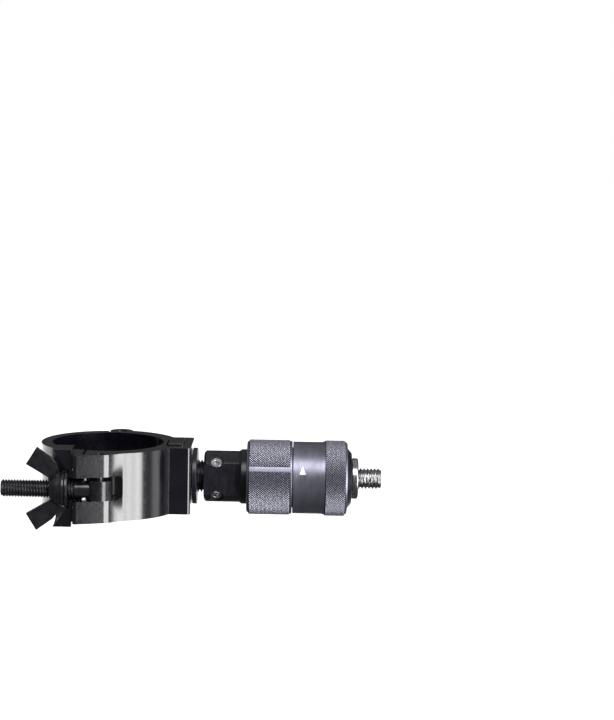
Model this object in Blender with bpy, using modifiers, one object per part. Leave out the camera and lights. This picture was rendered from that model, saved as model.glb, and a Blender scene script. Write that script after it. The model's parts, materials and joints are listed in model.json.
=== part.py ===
"""Half-coupler tube clamp with a quick-release receiver and its threaded tip.

Frame: the origin is the centre of the clamped tube, +Z runs along the tube, +X points at the tip
and -Y is the side that the eye bolt and wing nut are on. All values are metres.
"""

import math

import bmesh
import bpy
from mathutils import Matrix

MM = 0.001

# Clearances
TOUCH = 0.3 * MM  # between two pieces that seat on each other
RUN = 0.3 * MM  # radial, round a pin, a shank or a running sleeve

# Clamped tube and jaws
TUBE_R = 25.0 * MM
JAW_WIDTH = 30.0 * MM
BASE_WALL = 7.3 * MM
CAP_WALL = 5.0 * MM
JAW_SPLIT = 1.2 * MM  # gap between the jaws at the bolt side
HINGE_SIDE_PLAY = 0.2 * MM  # of each band, from the plane through the hinge

# Far hinge
HINGE_X = 3.0 * MM
HINGE_FROM_BORE = 6.1 * MM  # from the bore's surface to the pin's axis
HINGE_PIN_R = 2.5 * MM
KNUCKLE_R = 5.4 * MM
KNUCKLE_WIDTH = 9.8 * MM
KNUCKLE_ROOM = 0.8 * MM

# Swing bolt
BOLT_FROM_BORE = 8.5 * MM
BOLT_R = 3.95 * MM
BOLT_PIVOT_X = -0.3 * MM
BOLT_LENGTH = 42.6 * MM  # from the pivot to the rod's free end
BOLT_DROP = 0.6 * MM  # the eye rests low in its slot
EYE_R = 5.4 * MM
EYE_SIDE = 0.35 * MM  # how far the eye stands out past the rod on each side
PIVOT_PIN_R = 2.0 * MM

# Near arm and the fork slots that the bolt swings out of
SLOT_SIDE_GAP = 1.25 * MM  # from the rod to each side of its slot, with the bolt centred
SLOT_FLOOR_GAP = 0.6 * MM
SLOT_END_GAP = 4.5 * MM
SLOT_CORNER_R = 2.0 * MM
ARM_END_X = -11.5 * MM
ARM_FOOT_X = 9.6 * MM  # where the arm leaves the band's circle
ARM_BEND_X = 3.0 * MM
ARM_OUTSIDE = 6.7 * MM  # from the bolt's axis to the arm's outer corner
ARM_BEND_OUTSIDE = 2.3 * MM
ARM_BEND_R = 8.0 * MM
ARM_THICKNESS = 5.5 * MM
ARM_ROOT_X = -6.8 * MM
ARM_END_CORNER_R = 1.4 * MM

# Ear of the cap, which the washer bears on
SEAT_X = -13.4 * MM
EAR_THICKNESS = 7.1 * MM
EAR_WIDTH = 34.0 * MM
EAR_OUTSIDE = 2.1 * MM  # from the bolt's axis to the ear's front
EAR_LIP = 1.1 * MM
EAR_BACK = 10.5 * MM
FORK_FLOOR_GAP = 0.8 * MM
POCKET_ROOM = 0.4 * MM  # round the washer where it hangs lowest
POCKET_DEPTH = 1.5 * MM
POCKET_MOUTH_R = 16.9 * MM
POCKET_CONE = 5.0 * MM

# Washer and wing nut
WASHER_BAND = 4.05 * MM  # from the rod to the washer's rim
WASHER_THICKNESS = 1.2 * MM
WASHER_GAP = 0.35 * MM
HUB_WALL = 3.85 * MM
HUB_TOP_WALL = 1.15 * MM
HUB_LENGTH = 6.4 * MM
WING_THICKNESS = 3.0 * MM
# Corners of a wing as (distance along the bolt from the hub's base, radius), root to root
WING_FOOT = (2.2 * MM, 5.5 * MM)
WING_HEEL = (3.2 * MM, 10.4 * MM)
WING_CURVE = (5.5 * MM, 13.2 * MM)
WING_OUTER_CORNER = (12.4 * MM, 18.2 * MM)
WING_INNER_CORNER = (16.9 * MM, 10.9 * MM)
WING_TOP = (6.2 * MM, 4.6 * MM)

# Block and the T-headed stud
BLOCK_END_X = 38.2 * MM
BLOCK_WIDTH = 30.0 * MM
BLOCK_CORNER_R = 1.6 * MM
BLOCK_WALL = 3.6 * MM
HEAD_THICKNESS = 6.8 * MM
HEAD_WIDTH = 16.0 * MM
HEAD_PROUD = 0.9 * MM
HEAD_LEFT_ROOM = 0.8 * MM
STUD_R = 4.9 * MM
STUD_LENGTH = 18.0 * MM

# Adapter
FLANGE_R = 12.7 * MM
FLANGE_THICKNESS = 2.1 * MM
SPIGOT_R = 7.4 * MM
NECK_LENGTH = 2.8 * MM
SPIGOT_INSIDE = 15.0 * MM
SPIGOT_GROOVE = 1.0 * MM

# Receiver body
BODY_R = 11.6 * MM
BODY_FLARE_STEP = 1.0 * MM  # radial, from the journal out to the flare
BODY_LENGTH = 20.0 * MM
BODY_FLAT = 8.9 * MM  # from the axis to the milled flat
BODY_FLAT_LENGTH = 16.2 * MM
BODY_FLARE_LENGTH = 3.0 * MM
BODY_FLARE_RISE = 1.2 * MM
BODY_CHAMFER = 0.9 * MM
JOURNAL_GAP = 0.6 * MM  # radial, inside the sleeve's tail
JOURNAL_LENGTH = 8.2 * MM
SET_SCREW_R = 2.5 * MM
SET_SCREW_FROM_END = 5.6 * MM
SET_SCREW_ANGLE = 45.0
SET_SCREW_COUNTERBORE = 0.9 * MM
SET_SCREW_MOUTH_R = 3.6 * MM
HEX_SOCKET_R = 1.3 * MM
HEX_SOCKET_DEPTH = 1.6 * MM

# Inner barrel and its socket
BARREL_WALL = 3.2 * MM
BARREL_TAIL_STEP = 1.5 * MM
BARREL_TAIL_LENGTH = 11.4 * MM
BARREL_LENGTH = 36.1 * MM
BARREL_NOSE_STEP = 1.2 * MM
BARREL_NOSE_LENGTH = 3.2 * MM
SOCKET_DEPTH = 27.0 * MM
BALL_R = 2.0 * MM
BALL_COUNT = 4
BALL_FROM_NOSE = 11.6 * MM
BALL_LIFT = 0.1 * MM  # clear of the plug when locked

# Release sleeve and what rides on it
SLEEVE_TRAVEL = 4.0 * MM
TAIL_WALL = 1.6 * MM
SPRING_ROOM = 2.5 * MM  # radial, between the barrel and the sleeve's tail
TAIL_GAP = 4.6 * MM  # from the body's flare to the tail, more than the travel
WAIST_R = 16.3 * MM
FRONT_RING_R = 17.2 * MM
FRONT_RING_LENGTH = 9.2 * MM
WAIST_LENGTH = 13.1 * MM
FRONT_RISE = 1.1 * MM
FRONT_CHAMFER = 1.2 * MM
BALL_GROOVE_GAP = 0.5 * MM  # over the raised balls
BALL_GROOVE_ROOM = 0.5 * MM
SPRING_SHOULDER = 2.0 * MM  # from the waist's edge to the spring's seat inside
SNAP_GROOVE_DEPTH = 0.7 * MM
LOCK_RING_R = 17.05 * MM
LOCK_RING_LENGTH = 20.5 * MM
LOCK_RING_CHAMFER = 1.2 * MM
LOCK_RECESS_ROOM = 1.0 * MM
LOCK_NOTCH_WIDTH = 2.0 * MM
LOCK_NOTCH_DEPTH = 0.7 * MM
LOCK_NOTCH_ANGLE = 22.0  # above -Y
SNAP_RING_THICKNESS = 1.0 * MM
SNAP_RING_PROUD = 1.0 * MM

# Release spring
SPRING_WIRE_R = 0.55 * MM
SPRING_TURNS = 6
SPRING_INWARD = 0.15 * MM  # nearer the barrel than the tail

# Nose cap and tip
NOSE_BACK_R = 13.6 * MM
NOSE_FRONT_R = 11.5 * MM
NOSE_LENGTH = 1.7 * MM
NOSE_STEP = 0.4 * MM  # from the barrel's face to the cap's widest edge
PLUG_R = 6.0 * MM
PLUG_LENGTH = 24.0 * MM
PLUG_GROOVE_R = 4.9 * MM
PLUG_GROOVE_WIDTH = 4.2 * MM
TIP_FLANGE_R = 9.3 * MM
TIP_FLANGE_THICKNESS = 2.7 * MM
TIP_STUD_R = 4.76 * MM
TIP_STUD_LENGTH = 10.5 * MM
TIP_ROOT_R = 3.0 * MM
TIP_ROOT_LENGTH = 10.0 * MM
TIP_RING_R = 0.5 * MM
TIP_RING_FROM_FLANGE = 5.2 * MM
PLUG_GROOVE_SLOPE = 1.1 * MM
PLUG_CHAMFER = 1.0 * MM
TIP_FLANGE_CHAMFER = 0.5 * MM
THREAD_CHAMFER = 0.8 * MM
THREAD_RELIEF = 1.0 * MM  # depth of the recess that the stud's thread runs into

# Sizes that follow from what fits inside
SLOT_WIDTH = 2 * (BOLT_R + SLOT_SIDE_GAP)
EYE_WIDTH = 2 * (BOLT_R + EYE_SIDE)
WASHER_R = BOLT_R + WASHER_BAND
POCKET_R = WASHER_R + BOLT_DROP + POCKET_ROOM
HUB_R = BOLT_R + HUB_WALL
HUB_TOP_R = BOLT_R + HUB_TOP_WALL
BARREL_R = PLUG_R + RUN + BARREL_WALL
BARREL_TAIL_R = BARREL_R - BARREL_TAIL_STEP
BARREL_NOSE_R = BARREL_R - BARREL_NOSE_STEP
TAIL_BORE_R = BARREL_R + SPRING_ROOM
TAIL_R = TAIL_BORE_R + TAIL_WALL
JOURNAL_R = TAIL_BORE_R - JOURNAL_GAP
BODY_FLARE_R = JOURNAL_R + BODY_FLARE_STEP
SNAP_RING_R = TAIL_R + SNAP_RING_PROUD
BALL_CENTRE_R = PLUG_R + RUN + BALL_R + BALL_LIFT
BALL_GROOVE_R = BALL_CENTRE_R + BALL_R + BALL_GROOVE_GAP
SPRING_R = (BARREL_R + TAIL_BORE_R) / 2 - SPRING_INWARD

# Places that several pieces share
HINGE_Y = math.sqrt((TUBE_R + HINGE_FROM_BORE) ** 2 - HINGE_X**2)
BOLT_Y = -(TUBE_R + BOLT_FROM_BORE)
BASE_R = TUBE_R + BASE_WALL
CAP_R = TUBE_R + CAP_WALL
WASHER_X = SEAT_X - WASHER_GAP
NUT_X = WASHER_X - WASHER_THICKNESS - TOUCH
HEAD_SLOT_X = BLOCK_END_X - BLOCK_WALL
HEAD_X = HEAD_SLOT_X - TOUCH - HEAD_THICKNESS
FLANGE_X = BLOCK_END_X + TOUCH
SPIGOT_X = FLANGE_X + FLANGE_THICKNESS + TOUCH
BODY_X = SPIGOT_X + NECK_LENGTH
SCREW_X = BODY_X + SET_SCREW_FROM_END
BODY_END_X = BODY_X + BODY_LENGTH
JOURNAL_X = BODY_END_X + JOURNAL_LENGTH
SPIGOT_END_X = BODY_X + SPIGOT_INSIDE
BARREL_X = JOURNAL_X - BARREL_TAIL_LENGTH + TOUCH
SHOULDER_X = JOURNAL_X + TOUCH
BARREL_FACE_X = SHOULDER_X + BARREL_LENGTH
NOSE_X = BARREL_FACE_X - BARREL_NOSE_LENGTH
CAP_X = BARREL_FACE_X + NOSE_STEP
SLEEVE_END_X = CAP_X - TOUCH
BALL_X = BARREL_FACE_X - BALL_FROM_NOSE
TAIL_X = BODY_END_X + TAIL_GAP
FRONT_X = SLEEVE_END_X - FRONT_CHAMFER - FRONT_RING_LENGTH
WAIST_X = FRONT_X - FRONT_RISE - WAIST_LENGTH
LOCK_X = WAIST_X - TOUCH - LOCK_RING_LENGTH
TIP_X = CAP_X + NOSE_LENGTH + TOUCH

FULL_STEPS = 32
SMALL_STEPS = 20
ARC_STEP = math.radians(5)


def clear_scene():
    for leftover in list(bpy.data.objects):
        bpy.data.objects.remove(leftover, do_unlink=True)


def collection(name):
    made = bpy.data.collections.new(name)
    bpy.context.scene.collection.children.link(made)
    return made


def material(name, colour, roughness, metallic):
    made = bpy.data.materials.new(name)
    made.use_nodes = True
    shader = made.node_tree.nodes["Principled BSDF"]
    shader.inputs["Base Color"].default_value = (*colour, 1.0)
    shader.inputs["Roughness"].default_value = roughness
    shader.inputs["Metallic"].default_value = metallic
    return made


clear_scene()
PARTS = collection("tube_clamp_receiver")
CUTTERS = collection("cutters")

GLOSS_BLACK = material("gloss_black_jaw", (0.012, 0.011, 0.016), 0.18, 0.6)
DARK_STEEL = material("dark_steel", (0.02, 0.02, 0.022), 0.35, 0.8)
ANODISED_BLACK = material("anodised_black", (0.014, 0.014, 0.02), 0.38, 0.5)
ANODISED_GREY = material("anodised_grey", (0.11, 0.12, 0.17), 0.35, 0.9)
BRIGHT_STEEL = material("bright_steel", (0.55, 0.55, 0.56), 0.25, 1.0)
SPRING_STEEL = material("spring_steel", (0.35, 0.35, 0.37), 0.3, 1.0)
SEAL_RUBBER = material("seal_rubber", (0.015, 0.015, 0.015), 0.8, 0.0)


def add(name, mesh, made_of, place=Matrix.Identity(4)):
    """A visible part with its own material and smooth round faces."""
    part = bpy.data.objects.new(name, mesh)
    PARTS.objects.link(part)
    mesh.materials.clear()
    mesh.materials.append(made_of.copy())
    mesh.materials[0].name = name
    part.matrix_world = place
    mesh.shade_smooth()
    mesh.set_sharp_from_angle(angle=math.radians(35))
    return part


def cutter(name, mesh, place=Matrix.Identity(4)):
    made = bpy.data.objects.new(name, mesh)
    CUTTERS.objects.link(made)
    made.matrix_world = place
    made.hide_render = True
    made.display_type = "WIRE"
    return made


def boolean(part, other, operation="DIFFERENCE"):
    modifier = part.modifiers.new(operation.lower() + "_" + other.name, "BOOLEAN")
    modifier.operation = operation
    modifier.object = other
    modifier.solver = "EXACT"


def mesh_of(name, shape):
    mesh = bpy.data.meshes.new(name)
    shape.to_mesh(mesh)
    shape.free()
    return mesh


def box_mesh(name, low, high):
    shape = bmesh.new()
    size = [b - a for a, b in zip(low, high)]
    middle = [(a + b) / 2 for a, b in zip(low, high)]
    place = Matrix.Translation(middle) @ Matrix.Diagonal((*size, 1))
    bmesh.ops.create_cube(shape, size=1.0, matrix=place)
    return mesh_of(name, shape)


def rod_mesh(name, radius, length, steps=SMALL_STEPS):
    """A cylinder centred on its own origin, along Z."""
    shape = bmesh.new()
    bmesh.ops.create_cone(
        shape, cap_ends=True, segments=steps, radius1=radius, radius2=radius, depth=length
    )
    return mesh_of(name, shape)


def along_x(x, y=0.0, z=0.0):
    """Places a shape made along Z so that it runs along +X from this point."""
    return Matrix.Translation((x, y, z)) @ Matrix.Rotation(math.radians(90), 4, "Y")


def along_z(x, y, z=0.0):
    return Matrix.Translation((x, y, z))


def arc(centre, radius, start, end):
    """Points of an arc from start to end, in radians, both ends included."""
    count = max(2, math.ceil(abs(end - start) / ARC_STEP))
    turns = [start + (end - start) * i / count for i in range(count + 1)]
    return [(centre[0] + radius * math.cos(t), centre[1] + radius * math.sin(t)) for t in turns]


def corner(before, at, after, radius):
    """A rounded corner between two straight edges, as points from the first edge to the second."""
    first = (before[0] - at[0], before[1] - at[1])
    second = (after[0] - at[0], after[1] - at[1])
    to_first = math.atan2(first[1], first[0])
    to_second = math.atan2(second[1], second[0])
    opening = (to_second - to_first + math.pi) % (2 * math.pi) - math.pi
    reach = radius / math.sin(abs(opening) / 2)
    middle = to_first + opening / 2
    centre = (at[0] + reach * math.cos(middle), at[1] + reach * math.sin(middle))
    side = math.copysign(math.pi / 2, opening)
    start = to_first - side
    sweep = math.copysign(math.pi - abs(opening), -opening)
    steps = max(2, math.ceil(abs(sweep) / math.radians(22.5)))
    turns = [start + sweep * i / steps for i in range(steps + 1)]
    return [(centre[0] + radius * math.cos(t), centre[1] + radius * math.sin(t)) for t in turns]


def plate_mesh(name, outline, low, high):
    """A flat outline in XY, extruded from one height to the other, as a closed mesh."""
    curve = bpy.data.curves.new(name, "CURVE")
    curve.dimensions = "2D"
    curve.fill_mode = "BOTH"
    curve.extrude = (high - low) / 2
    spline = curve.splines.new("POLY")
    spline.points.add(len(outline) - 1)
    for point, (x, y) in zip(spline.points, outline):
        point.co = (x, y, 0, 1)
    spline.use_cyclic_u = True
    guide = bpy.data.objects.new(name, curve)
    bpy.context.scene.collection.objects.link(guide)
    graph = bpy.context.evaluated_depsgraph_get()
    mesh = bpy.data.meshes.new_from_object(guide.evaluated_get(graph))
    bpy.data.objects.remove(guide)
    shape = bmesh.new()
    shape.from_mesh(mesh)
    bmesh.ops.remove_doubles(shape, verts=shape.verts, dist=1e-6)
    bmesh.ops.translate(shape, verts=shape.verts, vec=(0, 0, (low + high) / 2))
    bmesh.ops.recalc_face_normals(shape, faces=shape.faces)
    shape.to_mesh(mesh)
    shape.free()
    return mesh


def turned_mesh(name, profile):
    """The closed outline of a turned shape, as (place along the axis, radius) pairs.

    It lies in the XZ plane, with the axis along Z, and the Screw modifier turns it.
    """
    shape = bmesh.new()
    corners = [shape.verts.new((radius, 0, place)) for place, radius in profile]
    for first, second in zip(corners, corners[1:] + corners[:1]):
        if first.co.x > 0 or second.co.x > 0:
            shape.edges.new((first, second))
    return mesh_of(name, shape)


def screw(part, steps):
    modifier = part.modifiers.new("turn", "SCREW")
    modifier.steps = steps
    modifier.render_steps = steps
    modifier.use_merge_vertices = True
    modifier.merge_threshold = 1e-6
    modifier.use_smooth_shade = True


def outer_first(profile):
    """Orders a profile so that its outer side runs from the far end back to the near end."""
    area = sum(
        a[0] * b[1] - b[0] * a[1] for a, b in zip(profile, profile[1:] + profile[:1])
    )
    return profile if area > 0 else profile[::-1]


def turned(name, profile, made_of, steps=FULL_STEPS, place=None):
    """A turned part on the receiver's axis; the profile's places are the frame's X."""
    part = add(name, turned_mesh(name, outer_first(profile)), made_of, place or along_x(0))
    screw(part, steps)
    return part


def turned_cutter(name, profile, place, steps=FULL_STEPS):
    made = cutter(name, turned_mesh(name, outer_first(profile)), place)
    screw(made, steps)
    return made


def ring(low, high, inner, outer):
    return [(low, inner), (high, inner), (high, outer), (low, outer)]


def angle_at_x(radius, x):
    return math.acos(x / radius)


def near_hinge(sign):
    """Where a jaw's band ends at the hinge, on this side of its axis."""
    return HINGE_X + sign * HINGE_SIDE_PLAY


# Jaws


def arm_points():
    """The near arm's outer side: a ramp off the band's circle, a soft bend and the arm's end."""
    foot_angle = -angle_at_x(BASE_R, ARM_FOOT_X)
    foot = (ARM_FOOT_X, BASE_R * math.sin(foot_angle))
    bend = (ARM_BEND_X, BOLT_Y - ARM_BEND_OUTSIDE)
    end = (ARM_END_X, BOLT_Y - ARM_OUTSIDE)
    inner = (ARM_END_X, end[1] + ARM_THICKNESS)
    rounded_bend = corner(foot, bend, end, ARM_BEND_R)
    rounded_end = corner(bend, end, inner, ARM_END_CORNER_R)
    return foot_angle, rounded_bend + rounded_end + [inner, (ARM_ROOT_X, inner[1])]


def block_points():
    half = BLOCK_WIDTH / 2
    root = math.sqrt(BASE_R**2 - half**2)
    back = corner((root, half), (BLOCK_END_X, half), (BLOCK_END_X, 0), BLOCK_CORNER_R)
    front = corner((BLOCK_END_X, 0), (BLOCK_END_X, -half), (root, -half), BLOCK_CORNER_R)
    return math.asin(half / BASE_R), back + front


def base_outline():
    split = near_hinge(1)
    block_angle, block = block_points()
    arm_angle, arm = arm_points()
    outline = arc((0, 0), BASE_R, angle_at_x(BASE_R, split), block_angle)
    outline += block
    outline += arc((0, 0), BASE_R, -block_angle, arm_angle)
    outline += arm
    outline += arc((0, 0), TUBE_R, -angle_at_x(TUBE_R, ARM_ROOT_X), angle_at_x(TUBE_R, split))
    return outline


def cap_outline():
    split = near_hinge(-1)
    web_x = ARM_ROOT_X - JAW_SPLIT
    ear_x = SEAT_X - EAR_THICKNESS
    arm_inner = BOLT_Y - ARM_OUTSIDE + ARM_THICKNESS
    outline = arc((0, 0), CAP_R, angle_at_x(CAP_R, split), 2 * math.pi - angle_at_x(CAP_R, ear_x))
    outline += [(ear_x, BOLT_Y - EAR_OUTSIDE), (SEAT_X + EAR_LIP, BOLT_Y - EAR_OUTSIDE)]
    outline += [(SEAT_X + EAR_LIP, arm_inner + TOUCH), (web_x, arm_inner + TOUCH)]
    start = 2 * math.pi - angle_at_x(TUBE_R, web_x)
    outline += arc((0, 0), TUBE_R, start, angle_at_x(TUBE_R, split))
    return outline


def knuckle(name, low, high):
    mesh = rod_mesh(name, KNUCKLE_R, high - low, FULL_STEPS)
    return cutter(name, mesh, along_z(HINGE_X, HINGE_Y, (low + high) / 2))


def knuckle_room(name, low, high):
    mesh = rod_mesh(name, KNUCKLE_R + KNUCKLE_ROOM, high - low, FULL_STEPS)
    return cutter(name, mesh, along_z(HINGE_X, HINGE_Y, (low + high) / 2))


def pin_hole(name, radius, x, y, length):
    return cutter(name, rod_mesh(name, radius + RUN / 2, length), along_z(x, y))


def slot_cutter(name, right, floor):
    """Cuts a jaw's open slot: a rounded outline seen along Y, from the floor to the front."""
    half = SLOT_WIDTH / 2
    left = SEAT_X - 3 * EAR_THICKNESS
    depth = TUBE_R
    outline = [(left, -half)]
    outline += corner((left, -half), (right, -half), (right, 0), SLOT_CORNER_R)
    outline += corner((right, 0), (right, half), (left, half), SLOT_CORNER_R)
    outline += [(left, half)]
    mesh = plate_mesh(name, outline, 0, depth)
    stand = Matrix.Translation((0, floor, 0)) @ Matrix.Rotation(math.radians(90), 4, "X")
    return cutter(name, mesh, stand)


def base_jaw():
    half = JAW_WIDTH / 2
    inner = KNUCKLE_WIDTH / 2 + TOUCH
    jaw = add("base_jaw", plate_mesh("base_jaw", base_outline(), -half, half), GLOSS_BLACK)
    boolean(jaw, knuckle("base_knuckle_top", inner, half), "UNION")
    boolean(jaw, knuckle("base_knuckle_bottom", -half, -inner), "UNION")
    boolean(jaw, knuckle_room("base_knuckle_room", -inner, inner))
    boolean(jaw, pin_hole("base_hinge_hole", HINGE_PIN_R, HINGE_X, HINGE_Y, 2 * JAW_WIDTH))
    floor = BOLT_Y + EYE_R + SLOT_FLOOR_GAP
    boolean(jaw, slot_cutter("arm_slot", BOLT_PIVOT_X + EYE_R + SLOT_END_GAP, floor))
    boolean(jaw, pin_hole("pivot_hole", PIVOT_PIN_R, BOLT_PIVOT_X, BOLT_Y, 2 * JAW_WIDTH))
    low = (HEAD_X - HEAD_LEFT_ROOM, -HEAD_WIDTH / 2 - TOUCH, -JAW_WIDTH)
    high = (HEAD_SLOT_X, HEAD_WIDTH / 2 + TOUCH, JAW_WIDTH)
    boolean(jaw, cutter("head_slot", box_mesh("head_slot", low, high)))
    hole = rod_mesh("stud_hole", STUD_R + RUN, 4 * BLOCK_WALL)
    boolean(jaw, cutter("stud_hole", hole, along_x(BLOCK_END_X)))


def ear_mesh():
    low = (SEAT_X - EAR_THICKNESS, BOLT_Y - EAR_OUTSIDE, -EAR_WIDTH / 2)
    high = (SEAT_X + EAR_LIP, BOLT_Y + EAR_BACK, EAR_WIDTH / 2)
    return box_mesh("cap_ear", low, high)


def nut_pocket():
    """Room for the washer and the turning wings, coaxial with the bolt."""
    wall_x = SEAT_X - POCKET_DEPTH
    cone_x = wall_x - POCKET_CONE
    left = SEAT_X - 2 * CAP_R
    profile = [(left, 0), (SEAT_X, 0), (SEAT_X, POCKET_R), (wall_x, POCKET_R)]
    profile += [(cone_x, POCKET_MOUTH_R), (left, POCKET_MOUTH_R)]
    return turned_cutter("nut_pocket", profile, along_x(0, BOLT_Y))


def cap_jaw():
    """The moving jaw, with its origin on the hinge."""
    half = JAW_WIDTH / 2
    inner = KNUCKLE_WIDTH / 2
    place = along_z(HINGE_X, HINGE_Y)
    mesh = plate_mesh("cap_jaw", cap_outline(), -half, half)
    mesh.transform(place.inverted())
    jaw = add("cap_jaw", mesh, GLOSS_BLACK, place)
    boolean(jaw, cutter("cap_ear", ear_mesh()), "UNION")
    boolean(jaw, knuckle("cap_knuckle", -inner, inner), "UNION")
    boolean(jaw, knuckle_room("cap_room_top", inner, JAW_WIDTH))
    boolean(jaw, knuckle_room("cap_room_bottom", -JAW_WIDTH, -inner))
    boolean(jaw, pin_hole("cap_hinge_hole", HINGE_PIN_R, HINGE_X, HINGE_Y, 2 * JAW_WIDTH))
    boolean(jaw, nut_pocket())
    floor = BOLT_Y + BOLT_R + FORK_FLOOR_GAP
    boolean(jaw, slot_cutter("cap_fork", 0.0, floor))


def pin(name, radius, x, y):
    mesh = rod_mesh(name, radius, JAW_WIDTH - 2 * TOUCH)
    add(name, mesh, DARK_STEEL, along_z(x, y))


# Bolt, washer and nut


def eye_bolt():
    """Swing bolt: the eye is on the pivot and the rod runs along -X."""
    eye = rod_mesh("eye_bolt", EYE_R, EYE_WIDTH, FULL_STEPS)
    bolt = add("eye_bolt", eye, DARK_STEEL, along_z(BOLT_PIVOT_X, BOLT_Y, -BOLT_DROP))
    rod = rod_mesh("bolt_rod", BOLT_R, BOLT_LENGTH)
    middle = BOLT_PIVOT_X - BOLT_LENGTH / 2
    boolean(bolt, cutter("bolt_rod", rod, along_x(middle, BOLT_Y, -BOLT_DROP)), "UNION")
    boolean(bolt, pin_hole("eye_hole", PIVOT_PIN_R, BOLT_PIVOT_X, BOLT_Y, 2 * JAW_WIDTH))


def on_bolt(x):
    return along_x(x, BOLT_Y, -BOLT_DROP)


def clamp_washer():
    profile = ring(-WASHER_THICKNESS, 0, BOLT_R + RUN, WASHER_R)
    turned("clamp_washer", profile, DARK_STEEL, place=on_bolt(WASHER_X))


def wing_outline(side):
    """One wing's corners, with the hub's base at zero and the rod's free end at -X."""
    corners = (WING_FOOT, WING_HEEL, WING_CURVE, WING_OUTER_CORNER, WING_INNER_CORNER, WING_TOP)
    return [(-along, side * radius) for along, radius in corners]


def wing_nut():
    profile = ring(-HUB_LENGTH, 0, BOLT_R + RUN, HUB_R)
    profile[3] = (-HUB_LENGTH, HUB_TOP_R)
    nut = turned("wing_nut", profile, DARK_STEEL, place=on_bolt(NUT_X))
    stand = Matrix.Translation((NUT_X, BOLT_Y, -BOLT_DROP)) @ Matrix.Rotation(math.radians(90), 4, "X")
    half = WING_THICKNESS / 2
    for name, side in (("wing_top", 1), ("wing_bottom", -1)):
        wing = plate_mesh(name, wing_outline(side), -half, half)
        boolean(nut, cutter(name, wing, stand), "UNION")
    bore = rod_mesh("nut_bore", BOLT_R + RUN, 4 * WING_INNER_CORNER[0])
    boolean(nut, cutter("nut_bore", bore, on_bolt(NUT_X)))


# Stud and adapter


def tee_stud():
    half = JAW_WIDTH / 2 + HEAD_PROUD
    low = (HEAD_X, -HEAD_WIDTH / 2, -half)
    high = (HEAD_X + HEAD_THICKNESS, HEAD_WIDTH / 2, half)
    stud = add("tee_stud", box_mesh("tee_stud", low, high), DARK_STEEL)
    start = HEAD_X + HEAD_THICKNESS / 2
    length = STUD_LENGTH + HEAD_THICKNESS / 2
    shank = rod_mesh("stud_shank", STUD_R, length)
    boolean(stud, cutter("stud_shank", shank, along_x(start + length / 2)), "UNION")


def adapter_flange():
    profile = ring(FLANGE_X, FLANGE_X + FLANGE_THICKNESS, STUD_R + RUN, FLANGE_R)
    turned("adapter_flange", profile, ANODISED_BLACK)


def adapter_spigot():
    """Neck with two rings, then the shank that the set screws grip in a V groove."""
    inner = STUD_R + RUN
    low = SPIGOT_R - SPIGOT_GROOVE
    ridge = NECK_LENGTH / 4
    profile = [(SPIGOT_X, inner), (SPIGOT_END_X, inner), (SPIGOT_END_X, SPIGOT_R)]
    profile += [(SCREW_X + SET_SCREW_R + SPIGOT_GROOVE, SPIGOT_R), (SCREW_X + SET_SCREW_R, low)]
    profile += [(SCREW_X - SET_SCREW_R, low), (SCREW_X - SET_SCREW_R - SPIGOT_GROOVE, SPIGOT_R)]
    profile += [(BODY_X, SPIGOT_R), (BODY_X - ridge / 2, low), (BODY_X - ridge, low)]
    profile += [(BODY_X - 1.5 * ridge, SPIGOT_R), (BODY_X - 2 * ridge, SPIGOT_R)]
    profile += [(BODY_X - 2.5 * ridge, low), (BODY_X - 3 * ridge, low)]
    profile += [(BODY_X - 3.5 * ridge, SPIGOT_R), (SPIGOT_X, SPIGOT_R)]
    turned("adapter_spigot", profile, ANODISED_BLACK, SMALL_STEPS)


# Receiver


def screw_place(sign, reach):
    """Along a set screw's axis, at this distance from the receiver's axis."""
    turn = Matrix.Rotation(math.radians(90 - sign * SET_SCREW_ANGLE), 4, "X")
    return Matrix.Translation((SCREW_X, 0, 0)) @ turn @ Matrix.Translation((0, 0, reach))


def body_profile():
    bore = SPIGOT_R + RUN
    step = SPIGOT_END_X + TOUCH
    tail_bore = BARREL_TAIL_R + RUN
    flare_x = BODY_END_X - BODY_FLARE_LENGTH
    profile = [(BODY_X, bore), (step, bore), (step, tail_bore), (JOURNAL_X, tail_bore)]
    profile += [(JOURNAL_X, JOURNAL_R), (BODY_END_X, JOURNAL_R), (BODY_END_X, BODY_FLARE_R)]
    profile += [(flare_x, BODY_FLARE_R), (flare_x - BODY_FLARE_RISE, BODY_R)]
    profile += [(BODY_X + BODY_CHAMFER, BODY_R), (BODY_X, BODY_R - BODY_CHAMFER)]
    return profile


def receiver_body():
    body = turned("receiver_body", body_profile(), ANODISED_BLACK)
    low = (BODY_X - BODY_R, -2 * BODY_R, -2 * BODY_R)
    high = (BODY_X + BODY_FLAT_LENGTH, -BODY_FLAT, 2 * BODY_R)
    boolean(body, cutter("body_flat", box_mesh("body_flat", low, high)))
    for name, sign in (("upper", 1), ("lower", -1)):
        hole = rod_mesh("screw_hole_" + name, SET_SCREW_R + RUN / 2, BODY_R, SMALL_STEPS)
        boolean(body, cutter("screw_hole_" + name, hole, screw_place(sign, BODY_R)))
        mouth = rod_mesh("screw_mouth_" + name, SET_SCREW_MOUTH_R, 2 * SET_SCREW_COUNTERBORE)
        boolean(body, cutter("screw_mouth_" + name, mouth, screw_place(sign, BODY_R)))


def set_screw(name, sign):
    low = SPIGOT_R - SPIGOT_GROOVE + TOUCH
    high = BODY_R - SET_SCREW_COUNTERBORE
    mesh = rod_mesh(name, SET_SCREW_R, high - low)
    screw_body = add(name, mesh, BRIGHT_STEEL, screw_place(sign, (low + high) / 2))
    socket = rod_mesh(name + "_socket", HEX_SOCKET_R, 2 * HEX_SOCKET_DEPTH, 6)
    boolean(screw_body, cutter(name + "_socket", socket, screw_place(sign, high)))


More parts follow.
